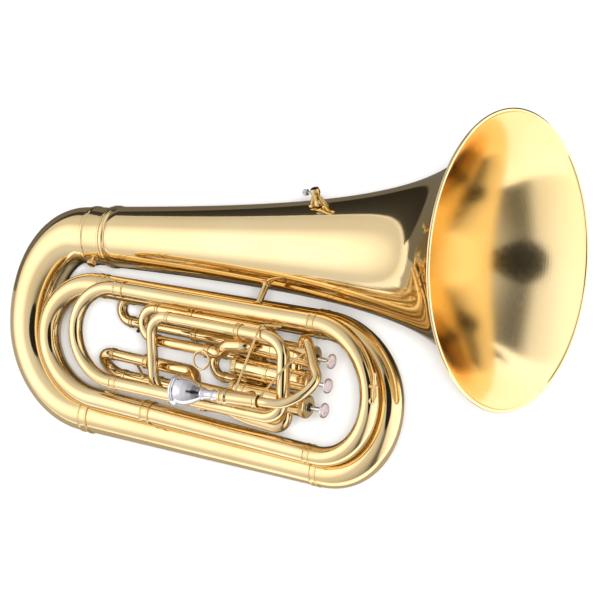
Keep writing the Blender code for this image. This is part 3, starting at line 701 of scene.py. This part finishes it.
# ---------------------------------------------------------------- valves
def make_valve(n):
    top = valve_top(n)
    body = f"valve_{n}"
    inner = CASING_RADIUS - 1.2
    high, low = -CASING_TOP, -CASING_TOP - CASING_LENGTH
    casing = [(CASING_RADIUS, high), (CASING_RADIUS, low), (inner, low), (inner, high)]
    turned(f"casing_{n}", casing, top, VALVE_AXIS, BRASS, "tuba", B,
           steps=96, size=0.4, stands_for=[f"valve_casing_{n}"])
    for tag, at in (("upper", -30.0), ("middle", -74.0), ("lower", -112.0)):
        band = [(CASING_RADIUS + 0.9, at), (CASING_RADIUS + 0.9, at - 5.0)]
        band += [(CASING_RADIUS - 0.2, at - 5.0), (CASING_RADIUS - 0.2, at)]
        turned(f"casing_{n}_{tag}_band", band, top, VALVE_AXIS, TRIM, "tuba", B, steps=96, size=0.8)

    wall, hole = CASING_RADIUS + 0.3, STEM_RADIUS + 0.8
    cap = [(CAP_RADIUS - 2.4, 0.0), (CAP_RADIUS - 0.9, -1.0), (CAP_RADIUS, -2.0), (CAP_RADIUS, -8.6)]
    cap += [(CAP_RADIUS - 0.8, -9.4), (CAP_RADIUS - 0.8, -12.0), (wall, -12.0), (wall, high + 1.0)]
    cap += [(inner - 2.0, high + 1.0), (hole, high + 1.0), (hole, 0.6)]
    cap += [(hole + 3.0, 0.6), (hole + 3.6, 0.0)]
    turned(f"top_cap_ring_{n}", cap, top, VALVE_AXIS, TRIM, "tuba", B,
           steps=192, size=0.5, ribs=(48, 0.45, -8.5, -2.1), stands_for=[f"top_cap_{n}"])
    floor = low - 1.0
    cap = [(CAP_RADIUS - 0.4, low + 7.0), (CAP_RADIUS, low + 5.6), (CAP_RADIUS, floor - 0.4)]
    cap += [(CAP_RADIUS - 2.4, floor - 2.4), (7.0, floor - 2.5), (6.0, floor - 1.6), (2.0, floor - 1.6)]
    cap += [(2.0, floor), (wall, floor), (wall, low + 7.0)]
    turned(f"bottom_cap_ring_{n}", cap, top, VALVE_AXIS, TRIM, "tuba", B,
           steps=192, size=0.5, ribs=(48, 0.45, floor - 0.2, low + 5.4), stands_for=[f"bottom_cap_{n}"])

    piston_low = -PISTON_TOP - PISTON_LENGTH
    drum = [(0.0, BUTTON_UNDERSIDE - 0.3), (STEM_RADIUS, BUTTON_UNDERSIDE - 0.3)]
    drum += [(STEM_RADIUS, -PISTON_TOP), (PISTON_RADIUS, -PISTON_TOP)]
    drum += [(PISTON_RADIUS, piston_low), (2.5, piston_low), (2.5, piston_low + 1.5)]
    drum += [(PISTON_RADIUS - 1.2, piston_low + 1.5), (PISTON_RADIUS - 1.2, -PISTON_TOP - 2.0)]
    drum += [(0.0, -PISTON_TOP - 2.0)]
    turned(f"piston_drum_{n}", drum, top, VALVE_AXIS, SILVER, body, S,
           steps=96, stands_for=[f"piston_{n}"])
    seat = top + VALVE_AXIS * BUTTON_UNDERSIDE
    felt = [(6.4, 0.3), (6.4, 3.2), (STEM_RADIUS + 0.7, 3.2), (STEM_RADIUS + 0.7, 0.3)]
    turned(f"cap_felt_{n}", felt, top, VALVE_AXIS, FELT, "tuba", None, size=0.9)
    cup = [(0.0, 3.4), (9.6, 3.4), (9.8, 4.7), (BUTTON_RADIUS - 0.8, 4.8), (BUTTON_RADIUS, 4.0)]
    cup += [(BUTTON_RADIUS, 1.6), (BUTTON_RADIUS - 2.4, 0.1), (0.0, 0.1)]
    turned(f"button_cup_{n}", cup, seat, VALVE_AXIS, SILVER, body, S, steps=96,
           stands_for=[f"finger_button_{n}"])
    inlay = [(0.0, 5.2), (4.0, 5.15), (7.6, 4.9), (9.4, 4.5), (9.5, 3.0), (0.0, 3.0)]
    turned(f"button_inlay_{n}", inlay, seat, VALVE_AXIS, PEARL, body, P, steps=96)
    make_spring(n, top, floor + 0.3, piston_low - 0.3)


def make_spring(n, top, low, high):
    """The return spring under a piston; here the coil keeps one fixed length and is not made to squash as
    the valve goes down.
    """
    turns, around, wire, radius = 8, 20, 0.7, 10.0
    span = high - low - 2 * wire
    path = []
    for k in range(turns * around + 1):
        angle = TAU * k / around
        height = low + wire + span * k / (turns * around)
        across = math.cos(angle) * VALVE_ACROSS + math.sin(angle) * Vector((0, 0, 1))
        path.append(top + VALVE_AXIS * height + across * radius)
    coil = piped(f"return_spring_{n}", path, wire, STEEL, "tuba", W,
                 sides=8, stands_for=[f"valve_spring_{n}"])
    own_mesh(coil)


def make_knuckle(upper, x):
    first, last = on_valve(upper, x), on_valve(upper + 1, x)
    path = stopped_at_valve([first.lerp(last, t / 12) for t in range(13)], upper + 1)
    path = list(reversed(stopped_at_valve(list(reversed(path)), upper)))
    piped(f"knuckle_{upper}_{upper + 1}_tube", path, 9.2, BRASS, "tuba", B, sides=36, wall=WALL,
          valve=upper + 1, from_valve=upper, stands_for=[f"knuckle_{upper}_{upper + 1}"])


# ---------------------------------------------------------------- mouthpipe
def make_mouthpipe():
    start, axis, length = RECEIVER_START, RECEIVER_AXIS, RECEIVER_LENGTH
    shell = [(9.5, length), (9.5, 16.0), (10.2, 14.6), (11.6, 13.0), (11.6, 9.0), (10.6, 7.6), (10.6, 6.0)]
    shell += [(11.4, 4.8), (11.4, 0.0), (8.3, 0.0), (8.6, length)]
    turned("receiver_tube", shell, start, axis, BRASS, "tuba", B, steps=96, size=0.9,
           stands_for=["mouthpiece_receiver"])
    end = start + axis * (length + 0.2)
    points = [end, end + axis * 18.0, (397.0, -229.5, 110.0), (424.0, -214.0, 99.0)]
    points += [(440.0, -191.0, 89.0), (427.0, -171.0, 79.0), (413.0, -152.0, 68.0)]
    points += [(401.0, -138.0, 58.0), (388.0, -137.0, 50.0), on_valve(1, 383.0)]
    path = stopped_at_valve(smooth_path(points, 12), 1)
    piped("leadpipe_tube", path, (7.0, 7.3), BRASS, "tuba", B, sides=40, wall=WALL, valve=1,
          stands_for=["leadpipe"])
    ferrule("leadpipe_ferrule", end - axis * 3.0, axis, 9.4, 9.0, proud=1.2)


def make_mouthpiece():
    outside = [(16.1, 76.7), (17.4, 78.4), (19.2, 79.0), (22.2, 78.8), (24.2, 77.4), (24.8, 75.4)]
    outside += [(24.5, 73.2), (22.8, 71.8), (21.8, 69.6), (22.2, 64.0), (21.4, 57.0), (19.0, 49.6)]
    outside += [(15.4, 42.0), (11.8, 36.0), (9.2, 32.4), (8.2, 30.8), (9.8, 29.6), (9.8, 27.6), (8.0, 26.4)]
    outside += [(7.2, 22.0), (6.8, 16.0), (7.0, 12.4), (8.8, 11.4), (8.8, 9.2), (7.0, 8.2), (7.2, 0.0)]
    outside += [(6.2, -22.0), (4.6, -22.0)]
    inside = [(4.2, 20.0), (4.2, 29.0), (6.4, 35.4), (10.4, 42.6)]
    inside += [(13.4, 50.0), (15.0, 57.0), (15.7, 64.0), (15.9, 72.0)]
    foot = RECEIVER_START - RECEIVER_AXIS * 1.0
    turned("mouthpiece_cup", [*outside, *inside], foot, -RECEIVER_AXIS, SILVER, "mouthpiece", S,
           steps=128, size=1.6, stands_for=["mouthpiece"])


# ---------------------------------------------------------------- small fittings
def make_thumb_ring():
    centre, major, wire, count, sides = Vector((218.0, -176.0, 70.1)), 14.0, 1.7, 72, 16
    turns = [TAU * k / count for k in range(count)]
    path = [centre + major * Vector((math.cos(turn), math.sin(turn), 0.0)) for turn in turns]
    rings, _ = rings_along(path, sides, closed=True)
    verts = [p + way * wire for p, ring in zip(path, rings) for way in ring]
    faces = []
    for i in range(count):
        for k in range(sides):
            a, b = i * sides, ((i + 1) % count) * sides
            n = (k + 1) % sides
            faces.append((a + k, a + n, b + n, b + k))
    new_piece("thumb_loop", verts, faces, BRASS, "tuba", ["thumb_ring"])


def make_stay(name, node, first, first_radius, second, second_radius, post=2.2, body="tuba"):
    """A post with a domed foot at each end, between the walls of two tubes."""
    first, second = Vector(first), Vector(second)
    low = first_radius - 0.6
    high = (second - first).length - second_radius + 0.6
    foot = post + 3.4
    profile = [(0.0, high), (foot, high), (foot - 0.4, high - 1.4)]
    profile += [(post + 0.6, high - 2.6), (post, high - 4.2), (post, low + 4.2), (post + 0.6, low + 2.6)]
    profile += [(foot - 0.4, low + 1.4), (foot, low), (0.0, low)]
    turned(name, profile, first, (second - first), TRIM, body, B, steps=48, size=0.7,
           stands_for=[node] if node else ())


def make_brace_rod():
    receiver = RECEIVER_START + RECEIVER_AXIS * 24.0
    points = [(364.0, -117.5, 74.6), (334.0, -116.0, 86.0), (338.5, -126.0, 99.5)]
    points += [receiver + Vector((3.0, 11.0, 0.5))]
    path = rounded_path(points, [(8, 8), (6, 6)], 1.0)
    piped("brace_wire", path, 1.7, BRASS, "tuba", B, sides=16, stands_for=["brace_rod"])


def make_leadpipe_brace():
    """A thin rod across the leadpipe's bend."""
    points = [(353.0, -224.5, 111.5), (366.0, -206.0, 104.0), (379.0, -188.0, 99.8), (392.0, -170.0, 90.0)]
    points += [(404.0, -155.5, 75.0)]
    piped("leadpipe_brace", smooth_path(points, 8), 1.6, TRIM, "tuba", B, sides=16)


def make_slide_fittings():
    """The crossbar between the third slide's legs and the rear slide's black pull knob."""
    make_stay("third_slide_crossbar", None, (76.0, -182.8, 44.0), SLIDE_RADIUS, (76.0, -215.8, 12.0),
              SLIDE_RADIUS, 2.0, "third_slide")
    neck = [(0.0, 7.0), (2.4, 6.6), (3.3, 5.0), (3.3, 3.4), (1.6, 2.0), (1.6, 0.0), (0.0, 0.0)]
    turned("rear_slide_knob", neck, (45.0, -138.2, -8.0), (0, -1, 0), RUBBER, "rear_slide", None,
           steps=40, size=1.2)


def make_water_key():
    """The drain on the small top bow: nipple, saddle, posts, pin, lever, pad and cork."""
    seat = Vector((508.5, -219.0, 46.2))
    out = Vector((0.72, 0.0, 0.69)).normalized()
    hinge = out.cross(Vector((0.0, 1.0, 0.0)))
    foot = seat + out * 15.3
    profile = [(3.6, 7.0), (3.6, 0.9), (5.4, -0.8), (2.6, -0.8), (2.6, 7.0)]
    turned("drain_nipple", profile, foot, out, TRIM, "tuba", B, steps=48, stands_for=["water_key_nipple"])
    pivot = foot + Vector((0.0, 22.0, 0.0)) + out * 6.0
    saddle = [pivot - out * 3.7 + hinge * (6.0 - k) for k in range(13)]
    piped("drain_saddle", saddle, 2.6, TRIM, "tuba", B, sides=20, stands_for=["water_key_saddle"])
    for tag, way in (("inner", -1), ("outer", 1)):
        post = [pivot - out * 3.7 + hinge * 4.6 * way, pivot + out * 2.4 + hinge * 4.6 * way]
        piped(f"drain_post_{tag}", post, 1.5, TRIM, "tuba", B, sides=16)
    pin = [pivot + out * 1.5 - hinge * 6.0, pivot + out * 1.5 + hinge * 6.0]
    piped("drain_hinge_pin", pin, 0.8, STEEL, "tuba", B, sides=12)
    lever = [foot + out * 9.6 + Vector((0.0, -2.0, 0.0)), pivot + out * 1.5]
    lever += [pivot + Vector((0.0, 20.0, 0.0)) + out * 4.5]
    path = rounded_path(lever, [(6, 6)], 1.0)
    piped("drain_lever", path, (2.2, 2.2), BRASS, "water_key", B, sides=20, stands_for=["water_key_lever"])
    pad = [(0.0, 10.6), (4.6, 10.2), (5.0, 9.2), (5.0, 8.3), (0.0, 8.3)]
    turned("drain_pad_cup", pad, foot, out, BRASS, "water_key", B, steps=48)
    cork = [(0.0, 8.4), (4.2, 8.4), (4.2, 7.2), (0.0, 7.2)]
    turned("drain_cork", cork, foot, out, CORK, "water_key", None, steps=40)


make_bell()
make_collar()
make_lyre_holder()
make_bugle()
make_slides()
for number in (1, 2, 3):
    make_valve(number)
make_knuckle(1, 372.0)
make_knuckle(2, 350.0)
make_mouthpipe()
make_mouthpiece()
make_thumb_ring()
make_brace_rod()
make_leadpipe_brace()
make_slide_fittings()
make_stay("outer_stay", "stay_lower", (330.0, -322.9, 0.0), 25.2, (330.0, -295.1, 43.2), 15.7)
make_stay("upper_stay", "stay_upper", (200.0, -93.3, 26.3), 20.3, (200.0, -88.6, 71.6), 12.8)
make_stay("bell_prop", "bell_rest", (308.0, -98.8, 64.1), 13.4,
          (308.0, 0.0, 0.0), flare_radius(312.0) + 1.4, 5.0)
make_water_key()


# ---------------------------------------------------------------- floor, light and camera
# Patches of the sky: direction, where its soft edge starts and ends as a cosine, and how bright it is.
SKY = [
    ((0.0, 0.0, 1.0), -2.0, -1.9, 0.42),
    ((-0.81, -0.10, 0.57), 0.00, 0.85, 0.40),
    ((-0.81, -0.10, 0.57), 0.78, 1.00, 0.72),
    ((1.0, 0.0, 0.0), 0.08, 0.36, -0.26),
    ((1.0, 0.0, 0.0), 0.44, 0.60, 0.85),
    ((1.0, 0.0, 0.0), 0.60, 0.92, 0.45),
    ((0.40, -0.08, 0.91), 0.93, 0.99, -3.0),
]
DARKEST_SKY = 0.02
FLOOR_SIDE = 12.0
CARD_HEIGHT = 0.001
# The camera in the instrument's frame, in millimetres, and its lens.
CAMERA_PLACE = Vector((5215.3, 187.5, 7334.1))
CAMERA_RIGHT, CAMERA_UP = Vector((0.8314, 0.0454, -0.5537)), Vector((-0.0545, 0.9985, 0.0))
CAMERA_LENS, CAMERA_SENSOR = 350.65, 36.0


def make_floor():
    mesh = bpy.data.meshes.new("floor")
    half = FLOOR_SIDE / 2
    corners = [(-half, -half, 0), (half, -half, 0), (half, half, 0), (-half, half, 0)]
    mesh.from_pydata(corners, [], [(0, 1, 2, 3)])
    made = bpy.data.objects.new("floor", mesh)
    paint = bpy.data.materials.new("pale_floor")
    paint.use_nodes = True
    shader_of(paint).inputs["Base Color"].default_value = (0.93, 0.93, 0.93, 1.0)
    shader_of(paint).inputs["Roughness"].default_value = 0.9
    mesh.materials.append(paint)
    bpy.context.scene.collection.objects.link(made)


def area_light(name, place, target, size, power):
    """A softbox that lights the floor and casts shadows, but isn't seen in the metal."""
    data = bpy.data.lights.new(name, "AREA")
    data.shape = "RECTANGLE"
    data.size, data.size_y = size
    data.energy = power
    made = bpy.data.objects.new(name, data)
    made.location = place
    made.rotation_euler = (Vector(target) - Vector(place)).to_track_quat("-Z", "Y").to_euler()
    made.visible_glossy = False
    bpy.context.scene.collection.objects.link(made)


def facing(tree, towards, low, high, gain):
    """A soft-edged patch of sky: gain where the direction is within an angle of towards."""
    way = tree.nodes.new("ShaderNodeTexCoord")
    along = tree.nodes.new("ShaderNodeVectorMath")
    along.operation = "DOT_PRODUCT"
    along.inputs[1].default_value = Vector(towards).normalized()
    tree.links.new(way.outputs["Generated"], along.inputs[0])
    patch = tree.nodes.new("ShaderNodeMapRange")
    patch.interpolation_type = "SMOOTHSTEP"
    patch.inputs["From Min"].default_value, patch.inputs["From Max"].default_value = low, high
    patch.inputs["To Min"].default_value, patch.inputs["To Max"].default_value = 0.0, gain
    tree.links.new(along.outputs["Value"], patch.inputs["Value"])
    return patch.outputs["Result"]


def make_world():
    """A pale tent: brightest behind the bottom bow, darker overhead and where the lens looks in."""
    world = bpy.data.worlds.new("studio")
    bpy.context.scene.world = world
    world.use_nodes = True
    tree = world.node_tree
    total = None
    for towards, low, high, gain in SKY:
        patch = facing(tree, towards, low, high, gain)
        if total is None:
            total = patch
            continue
        both = tree.nodes.new("ShaderNodeMath")
        tree.links.new(total, both.inputs[0])
        tree.links.new(patch, both.inputs[1])
        total = both.outputs["Value"]
    kept = tree.nodes.new("ShaderNodeMath")
    kept.operation = "MAXIMUM"
    kept.inputs[1].default_value = DARKEST_SKY
    tree.links.new(total, kept.inputs[0])
    back = tree.nodes["Background"]
    back.inputs["Color"].default_value = (1.0, 0.99, 0.975, 1.0)
    tree.links.new(kept.outputs["Value"], back.inputs["Strength"])


def make_card(name, shade, near, far):
    """A card on the floor that is seen only in the metal, from one corner to another; its grey is painted
    shade put into the reflections.
    """
    mesh = bpy.data.meshes.new(name)
    outline = [near, (far[0], near[1]), far, (near[0], far[1])]
    mesh.from_pydata([(*corner, CARD_HEIGHT) for corner in outline], [], [(0, 1, 2, 3)])
    made = bpy.data.objects.new(name, mesh)
    paint = bpy.data.materials.new(name)
    paint.use_nodes = True
    shader_of(paint).inputs["Base Color"].default_value = (shade, shade, shade, 1.0)
    shader_of(paint).inputs["Roughness"].default_value = 0.9
    mesh.materials.append(paint)
    bpy.context.scene.collection.objects.link(made)
    made.visible_camera = made.visible_diffuse = made.visible_shadow = False


def make_camera():
    data = bpy.data.cameras.new("camera")
    data.sensor_width = CAMERA_SENSOR
    data.lens = CAMERA_LENS
    data.clip_end = 100.0
    made = bpy.data.objects.new("camera", data)
    right = TURN @ CAMERA_RIGHT
    up = TURN @ CAMERA_UP
    back = right.cross(up).normalized()
    up = back.cross(right).normalized()
    place = TO_ROW @ CAMERA_PLACE
    turn = Matrix((right.normalized(), up, back)).transposed().to_4x4()
    made.matrix_world = Matrix.Translation(place) @ turn
    bpy.context.scene.collection.objects.link(made)
    bpy.context.scene.camera = made


make_floor()
make_world()
# Painted shade in the reflections: the near and grey cards stand for the floor shaded under the instrument,
# and the dark card paints the dark band along the tops of the bell and tubes.
make_card("near_card", 0.30, (-1.6, -0.5), (0.42, -0.02))
make_card("grey_card", 0.10, (-1.6, -0.02), (0.42, 0.34))
make_card("dark_card", 0.005, (-3.0, 0.34), (0.6, 3.0))
area_light("key", (3.1, -0.62, 7.3), (0.0, 0.0, 0.0), (1.3, 1.3), 640.0)
make_camera()
bpy.context.scene.view_settings.view_transform = "Standard"

bpy.context.view_layer.update()
